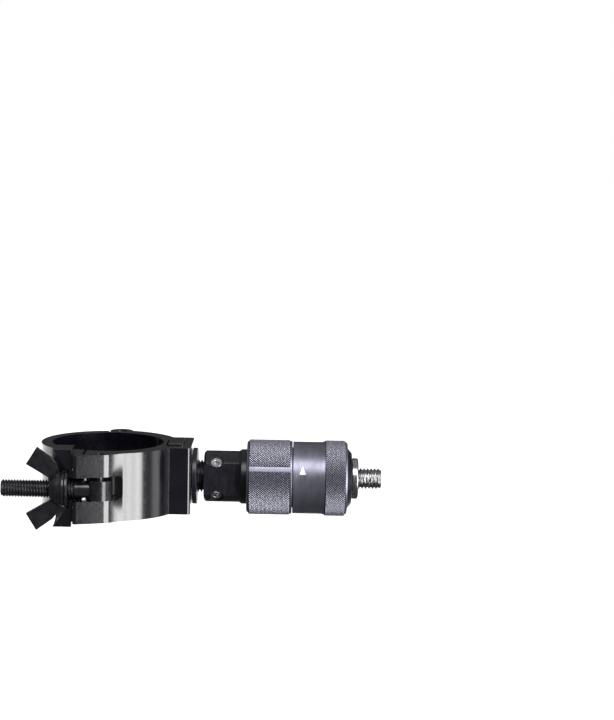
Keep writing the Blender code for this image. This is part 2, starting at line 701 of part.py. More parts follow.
def ball_place(number, reach):
    turn = Matrix.Rotation(math.radians(360 / BALL_COUNT * (number + 0.5)), 4, "X")
    return Matrix.Translation((BALL_X, 0, 0)) @ turn @ Matrix.Translation((0, 0, reach))


def inner_barrel():
    """Steel barrel with the tip's socket, held by its tail in the body."""
    socket = PLUG_R + RUN
    bottom = BARREL_FACE_X - SOCKET_DEPTH
    profile = [(BARREL_X, 0), (bottom, 0), (bottom, socket), (BARREL_FACE_X, socket)]
    profile += [(BARREL_FACE_X, BARREL_NOSE_R), (NOSE_X, BARREL_NOSE_R), (NOSE_X, BARREL_R)]
    profile += [(SHOULDER_X, BARREL_R), (SHOULDER_X, BARREL_TAIL_R), (BARREL_X, BARREL_TAIL_R)]
    barrel = turned("inner_barrel", profile, BRIGHT_STEEL)
    for number in range(BALL_COUNT):
        name = f"ball_hole_{number + 1}"
        hole = rod_mesh(name, BALL_R + RUN, BARREL_R)
        boolean(barrel, cutter(name, hole, ball_place(number, BARREL_R)))


def lock_ball(number):
    shape = bmesh.new()
    bmesh.ops.create_uvsphere(shape, u_segments=12, v_segments=8, radius=BALL_R)
    name = f"lock_ball_{number + 1}"
    add(name, mesh_of(name, shape), BRIGHT_STEEL, ball_place(number, BALL_CENTRE_R))


def release_spring():
    """Open coil between the body's journal and the sleeve's inner shoulder."""
    start = SHOULDER_X + SPRING_WIRE_R + TOUCH
    end = WAIST_X + SPRING_SHOULDER - SPRING_WIRE_R - TOUCH
    count = SPRING_TURNS * 10
    coil = bpy.data.curves.new("release_spring", "CURVE")
    coil.dimensions = "3D"
    coil.bevel_depth = SPRING_WIRE_R
    coil.bevel_resolution = 1
    coil.use_fill_caps = True
    spline = coil.splines.new("POLY")
    spline.points.add(count)
    for number, point in enumerate(spline.points):
        turn = 2 * math.pi * SPRING_TURNS * number / count
        x = start + (end - start) * number / count
        point.co = (x, SPRING_R * math.cos(turn), SPRING_R * math.sin(turn), 1)
    spring = bpy.data.objects.new("release_spring", coil)
    PARTS.objects.link(spring)
    coil.materials.append(SPRING_STEEL.copy())
    coil.materials[0].name = "release_spring"


def release_sleeve():
    """Tail under the lock ring, smooth waist and knurled front ring."""
    shoulder = WAIST_X + SPRING_SHOULDER
    land = BARREL_R + RUN
    groove = BALL_X - BALL_R - BALL_GROOVE_ROOM
    groove_end = BALL_X + BALL_R + BALL_GROOVE_ROOM + SLEEVE_TRAVEL
    snap = TAIL_X + TOUCH + SNAP_RING_THICKNESS + TOUCH
    snap_r = TAIL_R - SNAP_GROOVE_DEPTH
    profile = [(TAIL_X, TAIL_BORE_R), (shoulder, TAIL_BORE_R), (shoulder, land), (groove, land)]
    profile += [(groove, BALL_GROOVE_R), (groove_end, BALL_GROOVE_R), (groove_end, land)]
    profile += [(SLEEVE_END_X, land), (SLEEVE_END_X, FRONT_RING_R - FRONT_CHAMFER)]
    profile += [(SLEEVE_END_X - FRONT_CHAMFER, FRONT_RING_R), (FRONT_X, FRONT_RING_R)]
    profile += [(FRONT_X - FRONT_RISE, WAIST_R), (WAIST_X, WAIST_R), (WAIST_X, TAIL_R)]
    profile += [(snap, TAIL_R), (snap, snap_r), (TAIL_X, snap_r)]
    turned("release_sleeve", profile, ANODISED_GREY)


def retaining_ring():
    low = TAIL_X + TOUCH
    inner = TAIL_R - SNAP_GROOVE_DEPTH + TOUCH
    turned("retaining_ring", ring(low, low + SNAP_RING_THICKNESS, inner, SNAP_RING_R), SPRING_STEEL)


def lock_ring():
    """Knurled ring that turns on the sleeve's tail, with an index notch on the -Y side."""
    mouth = BODY_FLARE_R + RUN
    recess_x = TAIL_X - LOCK_RECESS_ROOM
    land_x = TAIL_X + SNAP_RING_THICKNESS + 2 * TOUCH
    end_x = LOCK_X + LOCK_RING_LENGTH
    profile = [(LOCK_X, mouth), (recess_x, mouth), (recess_x, SNAP_RING_R + RUN)]
    profile += [(land_x, SNAP_RING_R + RUN), (land_x, TAIL_R + RUN), (end_x, TAIL_R + RUN)]
    profile += [(end_x, LOCK_RING_R - LOCK_RING_CHAMFER / 2), (end_x - LOCK_RING_CHAMFER, LOCK_RING_R)]
    profile += [(LOCK_X + LOCK_RING_CHAMFER, LOCK_RING_R), (LOCK_X, LOCK_RING_R - LOCK_RING_CHAMFER)]
    made = turned("lock_ring", profile, ANODISED_GREY)
    half = LOCK_NOTCH_WIDTH / 2
    low = (LOCK_X - TOUCH, -LOCK_RING_R - LOCK_NOTCH_DEPTH, -half)
    high = (end_x + TOUCH, LOCK_NOTCH_DEPTH - LOCK_RING_R, half)
    turn = Matrix.Rotation(math.radians(-LOCK_NOTCH_ANGLE), 4, "X")
    boolean(made, cutter("index_notch", box_mesh("index_notch", low, high), turn))


def nose_cap():
    """Black ring on the barrel's nose, which stops the sleeve."""
    inner = BARREL_NOSE_R + RUN
    back = NOSE_X + TOUCH
    mouth = PLUG_R + 2 * RUN
    end_x = CAP_X + NOSE_LENGTH
    profile = [(back, inner), (BARREL_FACE_X + TOUCH, inner), (BARREL_FACE_X + TOUCH, mouth)]
    profile += [(end_x, mouth), (end_x, NOSE_FRONT_R), (CAP_X, NOSE_BACK_R)]
    profile += [(CAP_X, BARREL_R), (back, BARREL_R)]
    turned("nose_cap", profile, ANODISED_BLACK)


# Tip


def tip_plug():
    """Plug with the ball groove, the seal's groove and the load shoulder."""
    start = TIP_X - PLUG_LENGTH
    groove = BALL_X - PLUG_GROOVE_WIDTH / 2
    seal = TIP_X - TIP_RING_FROM_FLANGE
    width = 2 * TIP_RING_R + TOUCH
    root = TIP_ROOT_R + RUN
    root_x = TIP_X + TIP_FLANGE_THICKNESS - TIP_ROOT_LENGTH - TOUCH
    seal_r = PLUG_R - 2 * TIP_RING_R - TOUCH / 2
    end_x = TIP_X + TIP_FLANGE_THICKNESS
    relief = TIP_STUD_R + RUN
    relief_x = end_x - THREAD_RELIEF
    bevel = TIP_FLANGE_CHAMFER
    profile = [(start, 0), (root_x, 0), (root_x, root), (relief_x, root), (relief_x, relief)]
    profile += [(end_x, relief), (end_x, TIP_FLANGE_R - bevel), (end_x - bevel, TIP_FLANGE_R)]
    profile += [(TIP_X, TIP_FLANGE_R)]
    profile += [(TIP_X, PLUG_R), (seal + width, PLUG_R), (seal + width, seal_r), (seal, seal_r)]
    groove_end = groove + PLUG_GROOVE_WIDTH
    profile += [(seal, PLUG_R), (groove_end, PLUG_R), (groove_end - PLUG_GROOVE_SLOPE, PLUG_GROOVE_R)]
    profile += [(groove + PLUG_GROOVE_SLOPE, PLUG_GROOVE_R), (groove, PLUG_R)]
    profile += [(start + PLUG_CHAMFER, PLUG_R), (start, PLUG_R - PLUG_CHAMFER)]
    turned("tip_plug", profile, BRIGHT_STEEL, SMALL_STEPS)


def tip_seal():
    """Round seal in the plug's groove."""
    low = TIP_X - TIP_RING_FROM_FLANGE + TOUCH / 2 + TIP_RING_R
    middle_r = PLUG_R - TIP_RING_R
    shape = [
        (low + TIP_RING_R * math.cos(t), middle_r + TIP_RING_R * math.sin(t))
        for t in (math.radians(45 * i) for i in range(8))
    ]
    turned("tip_seal", shape, SEAL_RUBBER, SMALL_STEPS)


def tip_stud():
    """Threaded stud with a thinner root screwed into the plug."""
    face = TIP_X + TIP_FLANGE_THICKNESS
    end = face + TIP_STUD_LENGTH
    root = face - TIP_ROOT_LENGTH
    bevel = THREAD_CHAMFER
    profile = [(root, 0), (end, 0), (end, TIP_STUD_R - bevel), (end - bevel, TIP_STUD_R)]
    profile += [(face + TOUCH, TIP_STUD_R), (face + TOUCH, TIP_ROOT_R), (root, TIP_ROOT_R)]
    turned("tip_stud", profile, BRIGHT_STEEL, SMALL_STEPS)


def build():
    base_jaw()
    cap_jaw()
    pin("hinge_pin", HINGE_PIN_R, HINGE_X, HINGE_Y)
    pin("bolt_pivot_pin", PIVOT_PIN_R, BOLT_PIVOT_X, BOLT_Y)
    eye_bolt()
    clamp_washer()
    wing_nut()
    tee_stud()
    adapter_flange()
    adapter_spigot()
    receiver_body()
    set_screw("set_screw_upper", 1)
    set_screw("set_screw_lower", -1)
    inner_barrel()
    for number in range(BALL_COUNT):
        lock_ball(number)
    release_spring()
    release_sleeve()
    retaining_ring()
    lock_ring()
    nose_cap()
    tip_plug()
    tip_seal()
    tip_stud()


build()
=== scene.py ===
"""Looks of the tube clamp and its quick-release receiver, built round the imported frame.

Metres throughout, in the frame of the part: +Z along the clamped tube, +X towards the stud tip.
"""

import json
import math

import bmesh
import bpy
from mathutils import Euler, Matrix, Vector


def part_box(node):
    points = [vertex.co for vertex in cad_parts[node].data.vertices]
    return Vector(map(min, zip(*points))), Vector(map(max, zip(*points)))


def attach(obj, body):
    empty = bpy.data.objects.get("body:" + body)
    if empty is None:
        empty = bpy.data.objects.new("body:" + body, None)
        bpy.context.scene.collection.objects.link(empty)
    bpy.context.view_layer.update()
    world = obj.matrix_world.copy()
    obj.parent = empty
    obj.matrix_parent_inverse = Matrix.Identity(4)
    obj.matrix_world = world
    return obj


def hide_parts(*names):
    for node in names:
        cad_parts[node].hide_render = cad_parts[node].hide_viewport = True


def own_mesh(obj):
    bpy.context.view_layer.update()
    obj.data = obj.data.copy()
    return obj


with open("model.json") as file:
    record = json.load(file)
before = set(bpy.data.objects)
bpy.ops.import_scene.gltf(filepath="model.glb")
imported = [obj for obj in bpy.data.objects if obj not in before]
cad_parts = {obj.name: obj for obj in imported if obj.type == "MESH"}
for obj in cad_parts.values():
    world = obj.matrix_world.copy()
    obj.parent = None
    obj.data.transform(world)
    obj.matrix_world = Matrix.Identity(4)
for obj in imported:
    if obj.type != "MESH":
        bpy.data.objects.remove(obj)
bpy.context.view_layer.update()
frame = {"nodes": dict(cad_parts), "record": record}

MM = 0.001
NODES = frame["nodes"]


def bodies_by_node():
    bodies = frame["record"]["behaviour"]["bodies"]
    return {node: body for body, nodes in bodies.items() for node in nodes}


BODY_OF = bodies_by_node()
SLOT_OF = {row["node"]: row["material_slot"] for row in frame["record"]["subparts"]}


def middle(node):
    low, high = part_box(node)
    return [(a + b) / 2 for a, b in zip(low, high)]


# Places read from the frame
BOLT_LOW, BOLT_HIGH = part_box("eye_bolt")
BOLT_Y = middle("wing_nut")[1]
BOLT_Z = middle("eye_bolt")[2]
EYE_X = middle("bolt_pivot_pin")[0]
WASHER_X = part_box("clamp_washer")[0][0]
LOCK_LOW, LOCK_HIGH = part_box("lock_ring")
SLEEVE_LOW, SLEEVE_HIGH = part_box("release_sleeve")
STUD_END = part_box("tip_stud")[1][0]
PLUG_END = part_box("tip_plug")[1][0]

# Swing bolt: its shank runs from inside the washer to the eye
SHANK_R = 3.8 * MM
SHANK_INSIDE_WASHER = 4 * MM
PIVOT_HOLE_R = 2.15 * MM
EYE_EDGE = 0.9 * MM
ROD_LAP = 0.2 * MM

# Wing nut's hub: outline as (distance from its base, radius), both in millimetres
HUB_OUTLINE = (
    (0.0, 7.7), (0.9, 7.75), (1.5, 7.35), (2.3, 7.1), (3.4, 6.95), (4.6, 6.5), (5.6, 5.8), (6.35, 5.0),
)
HUB_BORE_R = 4.3
HUB_GAP = 0.3 * MM

# Threads
THREAD_COLUMNS = 28
THREAD_ROWS_PER_TURN = 10
THREAD_ROOT_FLAT = 0.12
THREAD_FLANK = 0.7
THREAD_END_CHAMFER = 1.1
ROD_MAJOR_R = 3.93 * MM
ROD_MINOR_R = 3.2 * MM
ROD_PITCH = 1.25 * MM
TIP_MAJOR_R = 4.74 * MM
TIP_MINOR_R = 3.9 * MM
TIP_PITCH = 25.4 * MM / 16
TIP_LAP = 1 * MM

# Knurl
KNURL_AROUND = 100
KNURL_PITCH = 1.1 * MM
KNURL_DEPTH = 0.42 * MM
KNURL_BAND = 1.2 * MM
KNURL_SEAT = 0.12 * MM
FRONT_KNURL_SHIFT = 0.25 * MM
LOCK_KNURL_LAP = 0.3 * MM
NOTCH_ANGLE = math.radians(68)
NOTCH_HALF = math.radians(3.4)
NOTCH_DEPTH = 0.9 * MM

# Sleeve: tail, waist and front ring
TAIL_R = 13.6 * MM
TAIL_WALL = 1.6 * MM
WAIST_R = 16.3 * MM
WAIST_LENGTH = 13.1 * MM
LAND_R = 9.8 * MM
LAND_START = 2 * MM
FRONT_SLOPE = 1.1 * MM
FRONT_LENGTH = 9.2 * MM
RING_CHAMFER = 1.2 * MM

# Lock ring
LOCK_MOUTH_R = 12.7 * MM
LOCK_MOUTH_LENGTH = 4 * MM
LOCK_BORE_R = 13.9 * MM
LOCK_END_CHAMFER = 0.6 * MM

# Index mark on the waist
MARK_START = 86.7 * MM
MARK_END = 89.6 * MM
MARK_ANGLE = math.radians(68)
MARK_HALF = math.radians(6.8)
MARK_ROWS = 9
MARK_PROUD = 0.03 * MM
MARK_SUNK = 0.25 * MM
MARK_POINT_HALF = 0.02 * MM

# Camera: its turns in degrees, down, to the right and round its own axis
CAMERA_PLACE = (0.08057, -0.78183, 0.14796)
CAMERA_LENS = 87.3
CAMERA_SENSOR = 36
CAMERA_PITCH, CAMERA_YAW, CAMERA_ROLL = 6.863, 0.633, 1.17
CAMERA_FAR = 50

# Floor, behind the object and below it
FLOOR_HALF = 6
FLOOR_PLACE = (0, 6.6, -0.35)
FLOOR_GLOW = 0.9


# Materials


def new_material(name, colour, roughness, metallic, **more):
    made = bpy.data.materials.new(name)
    made.use_nodes = True
    shader = made.node_tree.nodes["Principled BSDF"]
    shader.inputs["Base Color"].default_value = (*colour, 1.0)
    shader.inputs["Roughness"].default_value = roughness
    shader.inputs["Metallic"].default_value = metallic
    for socket, value in more.items():
        shader.inputs[socket.replace("_", " ")].default_value = value
    return made


def node(made, kind, **sockets):
    new = made.node_tree.nodes.new(kind)
    for socket, value in sockets.items():
        new.inputs[socket.replace("_", " ")].default_value = value
    return new


def link(made, source, target):
    made.node_tree.links.new(source, target)


def coordinates(made, scale=(1, 1, 1)):
    where = node(made, "ShaderNodeTexCoord")
    mapping = node(made, "ShaderNodeMapping", Scale=scale)
    link(made, where.outputs["Object"], mapping.inputs["Vector"])
    return mapping.outputs["Vector"]


def noise(made, scale, detail=2.0, stretch=(1, 1, 1)):
    texture = node(made, "ShaderNodeTexNoise", Scale=scale, Detail=detail)
    link(made, coordinates(made, stretch), texture.inputs["Vector"])
    return texture.outputs["Fac"]


def spread(made, source, low, high, start=0.3, end=0.7):
    """Maps a value that runs from start to end onto low to high."""
    ranged = node(made, "ShaderNodeMapRange")
    values = {"From Min": start, "From Max": end, "To Min": low, "To Max": high}
    for socket, value in values.items():
        ranged.inputs[socket].default_value = value
    link(made, source, ranged.inputs["Value"])
    return ranged.outputs["Result"]


def roughen(made, source, low, high):
    shader = made.node_tree.nodes["Principled BSDF"]
    link(made, spread(made, source, low, high), shader.inputs["Roughness"])


def fill_ramp(ramp, stops):
    """Sets a ramp's stops from (position, colour) pairs, lowest first."""
    ramp.elements[0].position, ramp.elements[1].position = stops[0][0], stops[-1][0]
    for position, _ in stops[1:-1]:
        ramp.elements.new(position)
    for element, (_, colour) in zip(ramp.elements, stops):
        element.color = (*colour, 1)


def mottle(made, source, dark, light):
    """Varies the base colour between two close tones."""
    shader = made.node_tree.nodes["Principled BSDF"]
    ramp = node(made, "ShaderNodeValToRGB")
    fill_ramp(ramp.color_ramp, ((0.35, dark), (0.65, light)))
    link(made, source, ramp.inputs["Fac"])
    link(made, ramp.outputs["Color"], shader.inputs["Base Color"])


def bump(made, source, height):
    shader = made.node_tree.nodes["Principled BSDF"]
    bumps = node(made, "ShaderNodeBump", Strength=1.0, Distance=height)
    link(made, source, bumps.inputs["Height"])
    link(made, bumps.outputs["Normal"], shader.inputs["Normal"])


def jaw_material():
    """Gloss black coat over extruded aluminium, with a fine peel."""
    made = new_material(
        "jaw_black", (0.004, 0.003, 0.006), 0.2, 0.0, Coat_Weight=1.0, Coat_Roughness=0.1,
    )
    peel = noise(made, 1100, 4.0)
    roughen(made, peel, 0.12, 0.26)
    mottle(made, noise(made, 160), (0.002, 0.0015, 0.004), (0.004, 0.0035, 0.007))
    bump(made, peel, 0.00002)
    return made


def bolt_material():
    """Satin black zinc on steel."""
    made = new_material(
        "bolt_black", (0.02, 0.02, 0.024), 0.26, 0.5, Coat_Weight=0.6, Coat_Roughness=0.2,
    )
    grain = noise(made, 1400, 4.0)
    roughen(made, grain, 0.2, 0.36)
    mottle(made, noise(made, 260), (0.01, 0.01, 0.014), (0.024, 0.024, 0.028))
    bump(made, grain, 0.00003)
    return made


def body_material():
    """Satin black anodising, with the lathe's fine rings round the axis."""
    made = new_material("body_black", (0.005, 0.005, 0.009), 0.3, 0.0)
    rings = noise(made, 500, 2.0, (6, 0.3, 0.3))
    roughen(made, rings, 0.22, 0.4)
    mottle(made, noise(made, 300), (0.004, 0.004, 0.007), (0.009, 0.009, 0.014))
    bump(made, rings, 0.00002)
    return made


def sleeve_material():
    """Blue-grey anodised aluminium, with the lathe's fine rings round the axis."""
    made = new_material("sleeve_grey", (0.2, 0.2, 0.26), 0.34, 0.9)
    rings = noise(made, 420, 3.0, (7, 0.25, 0.25))
    roughen(made, rings, 0.3, 0.46)
    mottle(made, noise(made, 120), (0.19, 0.19, 0.245), (0.25, 0.25, 0.315))
    bump(made, rings, 0.00003)
    return made


def knurl_material(name, crest):
    """The same finish on the knurl, with painted shade darkening its grooves and the colour growing
    lighter towards its points.
    """
    made = new_material(name, (0.25, 0.25, 0.3), 0.36, 0.9)
    shader = made.node_tree.nodes["Principled BSDF"]
    across = node(made, "ShaderNodeVectorMath")
    across.operation = "LENGTH"
    link(made, coordinates(made, (0, 1, 1)), across.inputs[0])
    depth = spread(made, across.outputs["Value"], 0, 1, crest - KNURL_DEPTH, crest)
    ramp = node(made, "ShaderNodeValToRGB")
    # Base colour by radius: near black in the grooves as painted shade, light grey on the points.
    stops = ((0.0, (0.03, 0.03, 0.04)), (0.45, (0.22, 0.22, 0.27)), (1.0, (0.72, 0.72, 0.82)))
    fill_ramp(ramp.color_ramp, stops)
    link(made, depth, ramp.inputs["Fac"])
    link(made, ramp.outputs["Color"], shader.inputs["Base Color"])
    grain = noise(made, 900, 3.0)
    roughen(made, grain, 0.36, 0.54)
    bump(made, grain, 0.00003)
    return made


def bright_material():
    """Bare turned steel."""
    made = new_material("bright_steel", (0.45, 0.45, 0.46), 0.25, 1.0)
    rings = noise(made, 500, 2.0, (6, 0.5, 0.5))
    roughen(made, rings, 0.16, 0.32)
    mottle(made, noise(made, 300), (0.36, 0.36, 0.37), (0.52, 0.52, 0.53))
    bump(made, rings, 0.00002)
    return made


def screw_material():
    """Bare steel of the set screws, a little duller."""
    made = new_material("screw_steel", (0.4, 0.4, 0.41), 0.34, 1.0)
    grain = noise(made, 900)
    roughen(made, grain, 0.22, 0.4)
    mottle(made, noise(made, 500), (0.28, 0.28, 0.29), (0.5, 0.5, 0.51))
    return made


def spring_material():
    made = new_material("spring_steel", (0.35, 0.35, 0.37), 0.3, 1.0)
    roughen(made, noise(made, 800), 0.22, 0.4)
    return made


def rubber_material():
    made = new_material("seal_rubber", (0.015, 0.015, 0.015), 0.75, 0.0)
    grain = noise(made, 1200)
    roughen(made, grain, 0.65, 0.85)
    bump(made, grain, 0.00004)
    return made


def mark_material():
    made = new_material("index_white", (0.75, 0.75, 0.76), 0.6, 0.0)
    roughen(made, noise(made, 1500), 0.5, 0.7)
    return made


MATERIALS = {
    "jaw_black": jaw_material(),
    "bolt_black": bolt_material(),
    "body_black": body_material(),
    "sleeve_grey": sleeve_material(),
    "lock_knurl": knurl_material("lock_knurl", LOCK_HIGH[2]),
    "front_knurl": knurl_material("front_knurl", SLEEVE_HIGH[2]),
    "bright_steel": bright_material(),
    "screw_steel": screw_material(),
    "spring_steel": spring_material(),
    "seal_rubber": rubber_material(),
    "index_white": mark_material(),
}


# Pieces


def finish_piece(piece, body, slot, *nodes):
    """Gives a piece its material, its body and the nodes that it stands in for."""
    piece.data.materials.clear()
    piece.data.materials.append(MATERIALS[slot])
    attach(piece, body)
    if nodes:
        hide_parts(*nodes)


def piece_from(name, shape):
    mesh = bpy.data.meshes.new(name)
    shape.normal_update()
    shape.to_mesh(mesh)
    shape.free()
    piece = bpy.data.objects.new(name, mesh)
    bpy.context.scene.collection.objects.link(piece)
    return piece


def smooth(piece, degrees=35):
    piece.data.shade_smooth()
    piece.data.set_sharp_from_angle(angle=math.radians(degrees))


def add_bevel(piece, width, segments=3, degrees=30):
    edges = piece.modifiers.new("edges", "BEVEL")
    edges.width = width
    edges.segments = segments
    edges.limit_method = "ANGLE"
    edges.angle_limit = math.radians(degrees)
    edges.harden_normals = True


def rounded_copy(name, width):
    """The node's own solid with its flat faces made whole again and its edges rounded."""
    shape = bmesh.new()
    shape.from_mesh(NODES[name].data)
    bmesh.ops.remove_doubles(shape, verts=shape.verts, dist=1e-6)
    bmesh.ops.dissolve_limit(
        shape, angle_limit=math.radians(1), verts=shape.verts, edges=shape.edges
    )
    bmesh.ops.recalc_face_normals(shape, faces=shape.faces)
    piece = piece_from(name + "_finished", shape)
    smooth(piece)
    add_bevel(piece, width)
    normals = piece.modifiers.new("flat_faces", "WEIGHTED_NORMAL")
    normals.keep_sharp = True
    normals.weight = 80
    finish_piece(piece, BODY_OF[name], SLOT_OF[name], name)
    return piece


def sweep_grid(shape, rows, columns, place):
    """A closed tube of quads: place(row, column) gives each point. Its ends are capped."""
    points = [[shape.verts.new(place(r, c)) for c in range(columns)] for r in range(rows)]
    for r in range(rows - 1):
        for c in range(columns):
            d = (c + 1) % columns
            shape.faces.new((points[r][c], points[r][d], points[r + 1][d], points[r + 1][c]))
    shape.faces.new(points[0][::-1])
    shape.faces.new(points[-1])
    bmesh.ops.recalc_face_normals(shape, faces=shape.faces)


def thread_height(phase):
    """0 at the root and 1 at the crest of a V thread with a flat root and crest."""
    rise = abs(2 * (phase % 1) - 1)
    return min(1.0, max(0.0, (rise - THREAD_ROOT_FLAT) / THREAD_FLANK))


def thread(name, start, end, major, minor, pitch, centre, body, slot, *nodes):
    """A right-hand thread along X, with a chamfered free end."""
    rows = int(abs(end - start) / pitch * THREAD_ROWS_PER_TURN)
    free = max(start, end, key=abs)

    def place(row, column):
        x = start + (end - start) * row / (rows - 1)
        turn = 2 * math.pi * column / THREAD_COLUMNS
        height = thread_height(x / pitch - turn / (2 * math.pi))
        radius = minor + (major - minor) * height
        near = abs(free - x) / (THREAD_END_CHAMFER * (major - minor))
        radius = min(radius, minor + (major - minor) * near) if near < 1 else radius
        return (x, centre[0] + radius * math.cos(turn), centre[1] + radius * math.sin(turn))

    shape = bmesh.new()
    sweep_grid(shape, rows, THREAD_COLUMNS, place)
    piece = piece_from(name, shape)
    smooth(piece, 40)
    finish_piece(piece, body, slot, *nodes)


def turned(name, profile, body, slot, *nodes, steps=96, bevel=0.25 * MM, centre=(0, 0)):
    """A turned piece from its closed outline of (x, radius) pairs."""
    shape = bmesh.new()
    corners = [shape.verts.new((x, centre[0], centre[1] + r)) for x, r in profile]
    edges = [shape.edges.new(pair) for pair in zip(corners, corners[1:] + corners[:1])]
    bmesh.ops.spin(
        shape, geom=corners + edges, cent=(0, *centre), axis=(1, 0, 0),
        angle=2 * math.pi, steps=steps, use_merge=True,
    )
    bmesh.ops.remove_doubles(shape, verts=shape.verts, dist=1e-7)
    bmesh.ops.recalc_face_normals(shape, faces=shape.faces)
    piece = piece_from(name, shape)
    smooth(piece, 25)
    if bevel:
        add_bevel(piece, bevel, degrees=25)
    finish_piece(piece, body, slot, *nodes)


def knurl_band(name, start, end, radius, body, slot, notch=False):
    """Raised diamonds round a ring: a grid whose odd points stand up and even points sink."""
    columns = 2 * KNURL_AROUND
    rows = 2 * int((end - start) / KNURL_PITCH) + 1
    inner = radius - KNURL_BAND
    shape = bmesh.new()
    points = []
    for row in range(rows):
        x = start + (end - start) * row / (rows - 1)
        line = []
        for column in range(columns):
            turn = 2 * math.pi * column / columns
            raised = (row + column) % 2 == 1 and 0 < row < rows - 1
            r = radius if raised else radius - KNURL_DEPTH
            away = abs((turn - NOTCH_ANGLE + math.pi) % (2 * math.pi) - math.pi)
            if notch and away < NOTCH_HALF:
                r = radius - NOTCH_DEPTH
            line.append(shape.verts.new(ring_point(x, r, turn)))
        points.append(line)
    for row in range(rows - 1):
        for column in range(columns):
            after = (column + 1) % columns
            a, b = points[row][column], points[row][after]
            c, d = points[row + 1][after], points[row + 1][column]
            if (row + column) % 2 == 0:
                shape.faces.new((a, b, c))
                shape.faces.new((a, c, d))
            else:
                shape.faces.new((a, b, d))
                shape.faces.new((b, c, d))
    close_inside(shape, points, inner, start, end, columns)
    piece = piece_from(name, shape)
    piece.data.shade_flat()
    finish_piece(piece, body, slot)


def ring_point(x, radius, turn):
    """A point round the X axis; the turn is zero straight up and a quarter turn at -Y."""
    return (x, -radius * math.sin(turn), radius * math.cos(turn))


def close_inside(shape, points, inner, start, end, columns):
    """Closes a band with its two end faces and a plain bore."""
    ends = []
    for x, line in ((start, points[0]), (end, points[-1])):
        turns = [2 * math.pi * c / columns for c in range(columns)]
        ring = [shape.verts.new(ring_point(x, inner, turn)) for turn in turns]
        for column in range(columns):
            after = (column + 1) % columns
            shape.faces.new((line[column], line[after], ring[after], ring[column]))
        ends.append(ring)
    for column in range(columns):
        after = (column + 1) % columns
        shape.faces.new((ends[0][column], ends[0][after], ends[1][after], ends[1][column]))
    bmesh.ops.recalc_face_normals(shape, faces=shape.faces)


def jaws():
    rounded_copy("base_jaw", 0.7 * MM)
    rounded_copy("cap_jaw", 0.6 * MM)


def bolt():
    """Eye and smooth shank joined and bored for the pivot pin, then the threaded rod."""
    seat = WASHER_X + SHANK_INSIDE_WASHER
    eye_r = BOLT_HIGH[0] - EYE_X
    half = (BOLT_HIGH[2] - BOLT_LOW[2]) / 2
    shape = bmesh.new()
    bmesh.ops.create_cone(
        shape, cap_ends=True, segments=64, radius1=eye_r, radius2=eye_r, depth=2 * half,
        matrix=Matrix.Translation((EYE_X, BOLT_Y, BOLT_Z)),
    )
    eye = piece_from("eye_bolt_finished", shape)
    shank_shape = bmesh.new()
    length = EYE_X - seat
    place = Matrix.Translation((seat + length / 2, BOLT_Y, BOLT_Z))
    bmesh.ops.create_cone(
        shank_shape, cap_ends=True, segments=48, radius1=SHANK_R, radius2=SHANK_R, depth=length,
        matrix=place @ Matrix.Rotation(math.radians(90), 4, "Y"),
    )
    shank = piece_from("shank", shank_shape)
    hole_shape = bmesh.new()
    bmesh.ops.create_cone(
        hole_shape, cap_ends=True, segments=32, radius1=PIVOT_HOLE_R, radius2=PIVOT_HOLE_R,
        depth=4 * half, matrix=Matrix.Translation((EYE_X, BOLT_Y, BOLT_Z)),
    )
    hole = piece_from("hole", hole_shape)
    for other, operation in ((shank, "UNION"), (hole, "DIFFERENCE")):
        joined = eye.modifiers.new(operation, "BOOLEAN")
        joined.object = other
        joined.operation = operation
    apply_modifiers(eye)
    for helper in (shank, hole):
        bpy.data.objects.remove(helper)
    smooth(eye)
    add_bevel(eye, EYE_EDGE, segments=4)
    finish_piece(eye, "swing_bolt", "bolt_black", "eye_bolt")
    thread(
        "rod_thread", seat + ROD_LAP, BOLT_LOW[0], ROD_MAJOR_R, ROD_MINOR_R, ROD_PITCH,
        (BOLT_Y, BOLT_Z), "swing_bolt", "bolt_black",
    )


def apply_modifiers(piece):
    graph = bpy.context.evaluated_depsgraph_get()
    mesh = bpy.data.meshes.new_from_object(piece.evaluated_get(graph))
    piece.modifiers.clear()
    piece.data = mesh


def bell_hub():
    """Bell-shaped hub over the nut's own cone, with a bead where it meets the washer."""
    low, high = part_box("wing_nut")
    base = WASHER_X - HUB_GAP
    centre = (BOLT_Y, (low[2] + high[2]) / 2)
    outline = (*HUB_OUTLINE, (HUB_OUTLINE[-1][0], HUB_BORE_R), (0.0, HUB_BORE_R))
    profile = [(base - along * MM, radius * MM) for along, radius in outline]
    turned("wing_nut_hub", profile, "nut", "bolt_black", centre=centre, bevel=0)


def fasteners():
    rounded_copy("wing_nut", 0.7 * MM)
    bell_hub()
    rounded_copy("clamp_washer", 0.2 * MM)
    rounded_copy("tee_stud", 0.35 * MM)
    rounded_copy("hinge_pin", 0.4 * MM)
    rounded_copy("bolt_pivot_pin", 0.4 * MM)


def receiver():
    for name, width in (
        ("adapter_flange", 0.25), ("adapter_spigot", 0.12), ("receiver_body", 0.22),
        ("nose_cap", 0.2), ("set_screw_upper", 0.25), ("set_screw_lower", 0.25),
    ):
        piece = rounded_copy(name, width * MM)
        if name.startswith("set_screw"):
            piece.data.materials[0] = MATERIALS["screw_steel"]


